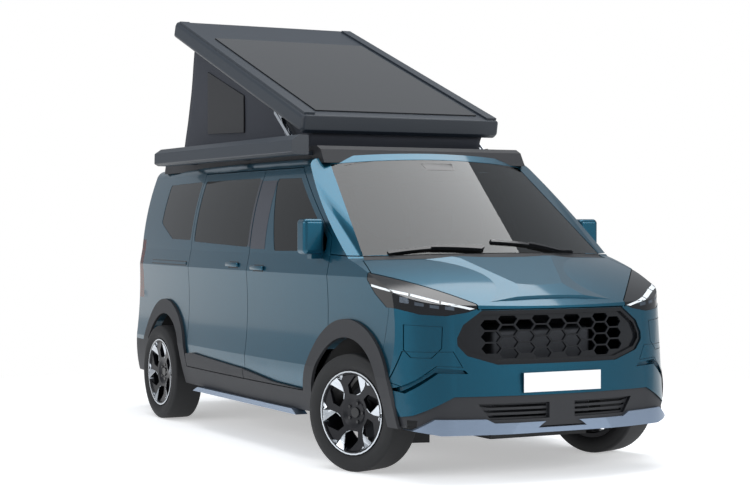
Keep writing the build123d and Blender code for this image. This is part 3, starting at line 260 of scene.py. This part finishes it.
finish_slot("silver_trim", worn_metal("satin_silver_paint", "#8392a6", 0.35, 0.8))
finish_slot("bright_steel", worn_metal("zinc_plate", "#c8ccd2", 0.25))
finish_slot("cast_metal", worn_metal("cast_iron", "#4a4c50", 0.6))
finish_slot("wheel_alloy", worn_metal("black_enamel_alloy", "#14151a", 0.3, 0.4))


# Underbody and tyres: a sprayed chassis coat, coarse enough to hide welds, and dull rubber.
# Neither shines, and both stay nearly black in full light.
finish_slot("chassis_steel", moulded("chassis_coat", "#121315", 0.6, 4.0, 0.3))
finish_slot("tyre_rubber", moulded("tyre_rubber", "#17181a", 0.75, 1.5, 0.3))


# Roof lid and awning case: aluminium under a satin anthracite powder coat.
# The coat is finely pebbled, which spreads its reflections along the edges.
powder_coat = moulded("anthracite_powder_coat", "#1e2731", 0.42, 0.8, 0.15)
finish_slot("awning_case", powder_coat)
finish("roof_panel", powder_coat)


# Cabin: a soft-touch dashboard and a kitchen unit of laminated light board.
# Their grain only breaks up the light, because they show through tinted glass.
finish_slot("cabin_plastic", moulded("cabin_plastic", "#24262a", 0.6, 1.0, 0.3))
finish_slot("cabinet_board", moulded("laminate_board", "#b5b0a6", 0.45, 5.0, 0.1))


# Number plate: a blank white plate, 520 by 110 mm, screwed to the stand on the bumper.
# Like all trim below it is laid on: two lines are thrown onto the panel that carries it,
# and the strip between them is given its thickness there.
PLATE_HALF = 0.26
PLATE_FOOT, PLATE_TOP = 0.502, 0.612
surfaces = {}


def surface(carrier):
    """A CAD node's surface, for throwing points onto it."""
    if carrier not in surfaces:
        mesh = frame["nodes"][carrier].data
        surfaces[carrier] = BVHTree.FromPolygons([v.co for v in mesh.vertices],
                                                 [list(f.vertices) for f in mesh.polygons])
    return surfaces[carrier]


def lay(bm, carrier, low, high, toward, thick, sink=0.001, steps=6, across=2):
    """Adds a thin strip to bm, between two lines of points, lying on a CAD node seen along toward."""
    toward = Vector(toward).normalized()
    low, high = [Vector(p) for p in low], [Vector(p) for p in high]
    runs = len(low) - 1
    made = bmesh.ops.create_grid(bm, x_segments=runs * steps, y_segments=across, size=1.0)["verts"]
    for vert in made:
        u = (vert.co.x + 1) / 2 * runs
        k = min(int(u + 1e-6), runs - 1)
        start, end = low[k].lerp(low[k + 1], u - k), high[k].lerp(high[k + 1], u - k)
        point = start.lerp(end, (vert.co.y + 1) / 2)
        hit = surface(carrier).ray_cast(point - toward * 0.25, toward, 0.6)[0]
        if hit is None:
            hit = surface(carrier).find_nearest(point)[0]
        vert.co = hit - toward * thick
    faces = list({face for vert in made for face in vert.link_faces})
    back = bmesh.ops.extrude_face_region(bm, geom=faces)["geom"]
    back = [v for v in back if isinstance(v, bmesh.types.BMVert)]
    bmesh.ops.translate(bm, vec=toward * (thick + sink), verts=back)


def piece(name, bm, material, body, sharp=35):
    """Makes a bmesh an object with its finish, on the body that it moves with."""
    bmesh.ops.remove_doubles(bm, verts=bm.verts, dist=0.00002)
    bmesh.ops.recalc_face_normals(bm, faces=bm.faces)
    mesh = bpy.data.meshes.new(name)
    bm.to_mesh(mesh)
    bm.free()
    mesh.materials.append(material)
    mesh.shade_smooth()
    mesh.set_sharp_from_angle(angle=math.radians(sharp))
    obj = link(name, mesh)
    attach(obj, body)
    return obj


def level(x_from, x_to, y, z):
    """A level line across the van, as two points."""
    return [(x_from, y, z), (x_to, y, z)]


plate_sheet = moulded("plate_sheet", "#f4f5f5", 0.35, 2.0, 0.02)
bm = bmesh.new()
lay(bm, "front_bumper", level(-PLATE_HALF, PLATE_HALF, -2.45, PLATE_FOOT),
    level(-PLATE_HALF, PLATE_HALF, -2.45, PLATE_TOP), (0, 1, 0), 0.0015)
piece("number_plate", bm, plate_sheet, "root")


# Headlamps: three light guides of frosted acrylic along each lamp's upper edge, pale when off,
# and under them four small bright reflector blocks, pressed from silvered sheet.
LAMP_TOP = [(0.889, -1.800, 1.117), (0.857, -1.858, 1.104), (0.745, -2.012, 1.070),
            (0.633, -2.166, 1.028), (0.556, -2.246, 1.006), (0.492, -2.312, 0.985)]
GUIDE_SPANS = ((0, 2), (2, 3), (3, 5))    # first and last point of each guide along the edge
GUIDE_DROP = 0.012            # from the lamp's edge down to a guide
GUIDE = 0.013                 # width of a guide
GUIDE_PART = 0.93             # a guide's last run stops short of the next guide
REFLECTORS = [(0.800, -1.985, 1.010), (0.745, -2.060, 0.995), (0.690, -2.135, 0.982),
              (0.632, -2.205, 0.972)]
REFLECTOR_RUN = (0.034, 0.045, 0.007)
REFLECTOR_HIGH = 0.032
frosted = moulded("frosted_acrylic", "#eef4f8", 0.25, 2.0, 0.02)
reflector = worn_metal("bright_reflector", "#6d7680", 0.2)
for side, name in ((-1, "right"), (1, "left")):
    view = (-side * 0.5, 0.86, 0)
    guides, blocks = bmesh.new(), bmesh.new()
    for first, last in GUIDE_SPANS:
        line = [Vector((side * x, y, z - GUIDE_DROP)) for x, y, z in LAMP_TOP[first:last + 1]]
        line[-1] = line[-2].lerp(line[-1], GUIDE_PART)
        lay(guides, "headlamps", line, [p - Vector((0, 0, GUIDE)) for p in line], view, 0.002)
    for x, y, z in REFLECTORS:
        in_x, in_y, in_z = REFLECTOR_RUN
        foot = [Vector((side * x, y, z)), Vector((side * (x - in_x), y - in_y, z - in_z))]
        lay(blocks, "headlamps", foot, [p + Vector((0, 0, REFLECTOR_HIGH)) for p in foot], view, 0.001)
    piece("light_guides_" + name, guides, frosted, "root")
    piece("lamp_reflectors_" + name, blocks, reflector, "root")


# Wheel faces: on the black spokes the lathe leaves bare silver faces, in six pairs of a long bent
# strip and a triangle, inside a turned lip. A gloss cap and five bolts close the hub.
RIM = 0.246
STRIP = [                     # degrees from the spoke's outer end, share of the rim's radius, width
    (0.0, 0.94, 0.042), (12.0, 0.80, 0.032), (20.0, 0.68, 0.024), (27.0, 0.46, 0.016),
]
SPOKES = 6
FIRST_SPOKE = 52              # degrees up from the nose side
LIP = (0.2375, 0.2455)        # inner and outer radius
CAP = (0.034, 0.030, 0.012)   # radii of its foot and top, and its height
CAP_OUT = 0.062               # from the wheel's middle
BOLT = (0.011, 0.010, 0.020)
BOLTS = 5
BOLT_CIRCLE = 0.056
turned_alloy = worn_metal("turned_alloy", "#c9ced4", 0.22)


def cone(bm, place, sizes, segments):
    """Adds a closed, slightly tapered round to bm."""
    foot, top, depth = sizes
    bmesh.ops.create_cone(bm, cap_ends=True, segments=segments, radius1=foot, radius2=top,
                          depth=depth, matrix=place)


wheels = [row for row in frame["record"]["behaviour"]["joints"] if row["child"].startswith("wheel")]
for row in wheels:
    body = row["child"]
    carrier = body.replace("wheel", "rim")
    axle = Vector(row["axis"]).normalized()
    if (axle.x < 0) != body.endswith("right"):
        axle = -axle
    up = Vector((0, 0, 1))
    fore = Vector((0, -1, 0))
    fore = (fore - axle * axle.dot(fore)).normalized()
    middle = Vector(row["pos_m"])

    def at(angle, radius):
        """A point in front of this wheel, its angle up from the nose side."""
        a = math.radians(angle)
        return middle + axle * 0.15 + (fore * math.cos(a) + up * math.sin(a)) * radius

    faces = bmesh.new()
    for k in range(SPOKES):
        turn = FIRST_SPOKE + 360 / SPOKES * k
        edges = [[at(turn + a + math.degrees(half * w / (r * RIM)), r * RIM) for a, r, w in STRIP]
                 for half in (-0.5, 0.5)]
        lay(faces, carrier, edges[0], edges[1], -axle, 0.0012, steps=3)
        lay(faces, carrier, [at(turn + 12, 0.94 * RIM), at(turn + 25, 0.94 * RIM)],
            [at(turn + 23, 0.80 * RIM), at(turn + 26, 0.80 * RIM)], -axle, 0.0012, steps=3)
    rings = [[at(10 * k, radius) for k in range(37)] for radius in LIP]
    lay(faces, carrier, rings[0], rings[1], -axle, 0.001, steps=2, across=1)
    piece("turned_faces_" + body, faces, turned_alloy, body)
    hub = bmesh.new()
    place = Matrix.Translation(middle + axle * CAP_OUT) @ axle.to_track_quat("Z", "Y").to_matrix().to_4x4()
    cone(hub, place, CAP, 32)
    for k in range(BOLTS):
        turned = Matrix.Rotation(math.radians(360 / BOLTS * k), 4, "Z")
        cone(hub, place @ turned @ Matrix.Translation((BOLT_CIRCLE, 0, -0.004)), BOLT, 6)
    piece("hub_cap_" + body, hub, gloss_black, body, sharp=30)


# Door handles: moulded pull bars in body colour, slightly bowed, with rounded edges.
# Each stands over a thin gloss-black sheet laid flat on the door, painted shade for the recess where the
# fingers go in.
HANDLE = (0.020, 0.205, 0.030)            # depth, length and height
HANDLE_EDGE = 0.0075          # rounding of all its edges
HANDLE_BOW = 0.9              # how fast its ends fall back towards the door
HANDLE_OUT = 0.016            # its middle stands this far off the skin
HANDLES = [                   # name, door, y, z, side, body
    ("handle_front_right", "front_door_right", -0.33, 1.165, -1, "door_right"),
    ("handle_front_left", "front_door_left", -0.33, 1.165, 1, "door_left"),
    ("handle_sliding", "sliding_door", 0.10, 1.178, -1, "root"),
]
OUTSIDE = 1.1                 # x of the lines that are thrown onto the flanks


def along(side, y_from, y_to, z):
    """A level line along the van, outside one flank."""
    return [(side * OUTSIDE, y_from, z), (side * OUTSIDE, y_to, z)]


for name, door, y, z, side, body in HANDLES:
    toward = Vector((-side, 0, 0))
    spot = surface(door).ray_cast(Vector((side * 1.3, y, z)), toward, 1.0)[0]
    bar = bmesh.new()
    bmesh.ops.create_cube(bar, size=1.0)
    bmesh.ops.scale(bar, vec=HANDLE, verts=bar.verts)
    bmesh.ops.bevel(bar, geom=bar.edges, offset=HANDLE_EDGE, offset_type="OFFSET", segments=3,
                    profile=0.5, affect="EDGES", material=-1)
    for vert in bar.verts:
        vert.co.x -= side * HANDLE_BOW * vert.co.y ** 2
    bmesh.ops.translate(bar, vec=spot + Vector((side * HANDLE_OUT, 0, 0)), verts=bar.verts)
    piece(name, bar, paint, body)
    # Painted shade: a flat dark sheet on the door under the handle, where the finger recess would be in
    # shade.
    recess_shade = bmesh.new()
    lay(recess_shade, door, along(side, y - 0.10, y + 0.07, z - 0.024), along(side, y - 0.09, y + 0.06, z + 0.020),
        toward, 0.0006)
    piece(name + "_dish", recess_shade, gloss_black, body)


# Pillar films: dark grey film stuck on the door frames and on the edge behind them.
# It joins the panes above the waist into one dark band, a little lighter than the glass.
FILM_THICK = 0.0012
film = moulded("pillar_film", "#343740", 0.35, 2.0, 0.02)
for side, name, wall, wall_from in ((-1, "right", "sliding_door", -0.143),
                                    (1, "left", "side_wall_left", -0.146)):
    bm = bmesh.new()
    lay(bm, "front_door_" + name, along(side, -0.392, -0.158, 1.288), along(side, -0.392, -0.158, 1.735),
        (-side, 0, 0), FILM_THICK, across=14)
    piece("pillar_film_" + name, bm, film, "door_" + name)
    bm = bmesh.new()
    lay(bm, wall, along(side, wall_from, -0.115, 1.300), along(side, wall_from, -0.115, 1.745),
        (-side, 0, 0), FILM_THICK, across=14)
    piece("pillar_edge_" + name, bm, film, "root")


# Sliding rail: a black channel in the wall behind the sliding door, for the door's roller.
# A cover in body colour is clipped over it, so only a thin dark line shows above and below.
RAIL_Y = (1.03, 1.88)
for name, low, high, thick, material, slot in (
        ("rail_channel", 1.150, 1.182, 0.0008, gloss_black, "black_plastic"),
        ("rail_cover", 1.158, 1.176, 0.0045, paint, "body_paint")):
    bm = bmesh.new()
    lay(bm, "side_wall_right", along(-1, *RAIL_Y, low), along(-1, *RAIL_Y, high), (1, 0, 0), thick,
        steps=20)
    piece(name, bm, material, "root")


# Screen furniture: two black wipers, arm and blade, parked at the foot of the glass.
# A printed black band runs under the screen's upper edge, with a sensor block at its middle.
INTO_SCREEN = (0, 0.58, -0.81)
BLADES = ((-0.70, -0.10), (-0.02, 0.58))  # ends of the two blades across the van
bm = bmesh.new()
for x0, x1 in BLADES:
    lay(bm, "windscreen", [(x0, -1.685, 1.32), (x1, -1.735, 1.30)],
        [(x0, -1.665, 1.33), (x1, -1.715, 1.31)], INTO_SCREEN, 0.014, steps=14)
    lay(bm, "windscreen", [(x1 - 0.03, -1.76, 1.29), (x1 - 0.34, -1.70, 1.31)],
        [(x1, -1.745, 1.30), (x1 - 0.33, -1.685, 1.32)], INTO_SCREEN, 0.022, steps=8)
piece("wipers", bm, gloss_black, "root")
bm = bmesh.new()
lay(bm, "windscreen", level(-0.62, 0.62, -0.905, 1.83), level(-0.62, 0.62, -0.885, 1.85),
    INTO_SCREEN, 0.0008, steps=20)
lay(bm, "windscreen", level(-0.10, 0.10, -1.02, 1.76), level(-0.13, 0.13, -0.90, 1.84),
    INTO_SCREEN, 0.0008)
piece("screen_band", bm, gloss_black, "root")


# Seats and bench: foam under grey woven cloth. Each stands in the space of its plain CAD cushions,
# remeshed evenly and eased, so that the foam's edges are round.
VOXELS = {"front_seats": 0.012, "rear_bench": 0.014}
cloth = moulded("seat_cloth", "#4a4e55", 0.9, 0.8, 0.6)
for carrier, voxel in VOXELS.items():
    finish(carrier, cloth)
    bm = bmesh.new()
    bm.from_mesh(frame["nodes"][carrier].data)
    bmesh.ops.remove_doubles(bm, verts=bm.verts, dist=0.0001)
    mesh = bpy.data.meshes.new(carrier + "_cloth")
    bm.to_mesh(mesh)
    bm.free()
    seat = link(carrier + "_cloth", mesh)
    even = seat.modifiers.new("even", "REMESH")
    even.mode = "VOXEL"
    even.voxel_size = voxel
    ease = seat.modifiers.new("ease", "SMOOTH")
    ease.factor, ease.iterations = 0.5, 8
    foam = bpy.data.meshes.new_from_object(seat.evaluated_get(bpy.context.evaluated_depsgraph_get()))
    seat.modifiers.clear()
    seat.data = foam
    foam.materials.clear()
    foam.materials.append(cloth)
    foam.shade_smooth()
    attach(seat, "root")
    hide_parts(carrier)


# Tent: one band of coated cloth round the raised roof, stretched from its frame to the lid.
# It bows in a few millimetres between its fixings, and a dark mesh window is sewn into each side.
TENT_HALF = 0.66
TENT_FOOT = 1.95
LID_FRONT = (-0.456, 2.057)   # y and z of the tent's upper edge at its front and its rear
LID_REAR = (1.565, 2.796)
BOW = 0.010
tent_cloth = moulded("coated_tent_cloth", "#2b2f38", 0.8, 1.0, 0.5)
window_mesh = moulded("mesh_window", "#14161b", 0.5, 2.0, 0.2)
finish("canvas", tent_cloth)
bm = bmesh.new()
bm.from_mesh(frame["nodes"]["canvas"].data)
bmesh.ops.remove_doubles(bm, verts=bm.verts, dist=0.0001)
inner = [vert for vert in bm.verts if abs(vert.co.x) < TENT_HALF - 0.002]
bmesh.ops.delete(bm, geom=inner, context="VERTS")
bmesh.ops.subdivide_edges(bm, edges=bm.edges, cuts=31, use_grid_fill=True)
bmesh.ops.triangulate(bm, faces=[face for face in bm.faces if len(face.verts) > 4])
bmesh.ops.recalc_face_normals(bm, faces=bm.faces)
slope = (LID_REAR[1] - LID_FRONT[1]) / (LID_REAR[0] - LID_FRONT[0])
for vert in bm.verts:
    lid = LID_FRONT[1] + (min(vert.co.y, LID_REAR[0]) - LID_FRONT[0]) * slope
    high = (vert.co.z - TENT_FOOT) / max(0.05, lid - TENT_FOOT)
    slack = math.sin(math.pi * min(1.0, max(0.0, high)))
    crease = noise.noise(vert.co * 2.2) * 0.006 + noise.noise(vert.co * 7.0) * 0.0025
    on_side = abs(vert.co.x) > TENT_HALF - 0.005
    away = Vector((vert.co.x / TENT_HALF, 0, 0)) if on_side else Vector((0, 1, 0))
    vert.co -= away * slack * (BOW + crease)
tent = piece("tent", bm, tent_cloth, "root", sharp=60)
panes = bmesh.new()
for side in (-1, 1):
    low = [(side * 0.7, 0.62, 2.10), (side * 0.7, 1.30, 2.12)]
    high = [(side * 0.7, 0.62, 2.36), (side * 0.7, 1.30, 2.58)]
    lay(panes, "canvas", low, high, (-side, 0, 0), 0.003, sink=0.012)
window = piece("tent_windows", panes, window_mesh, "root")
for soft in (tent, window):
    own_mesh(soft)
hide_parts("canvas")
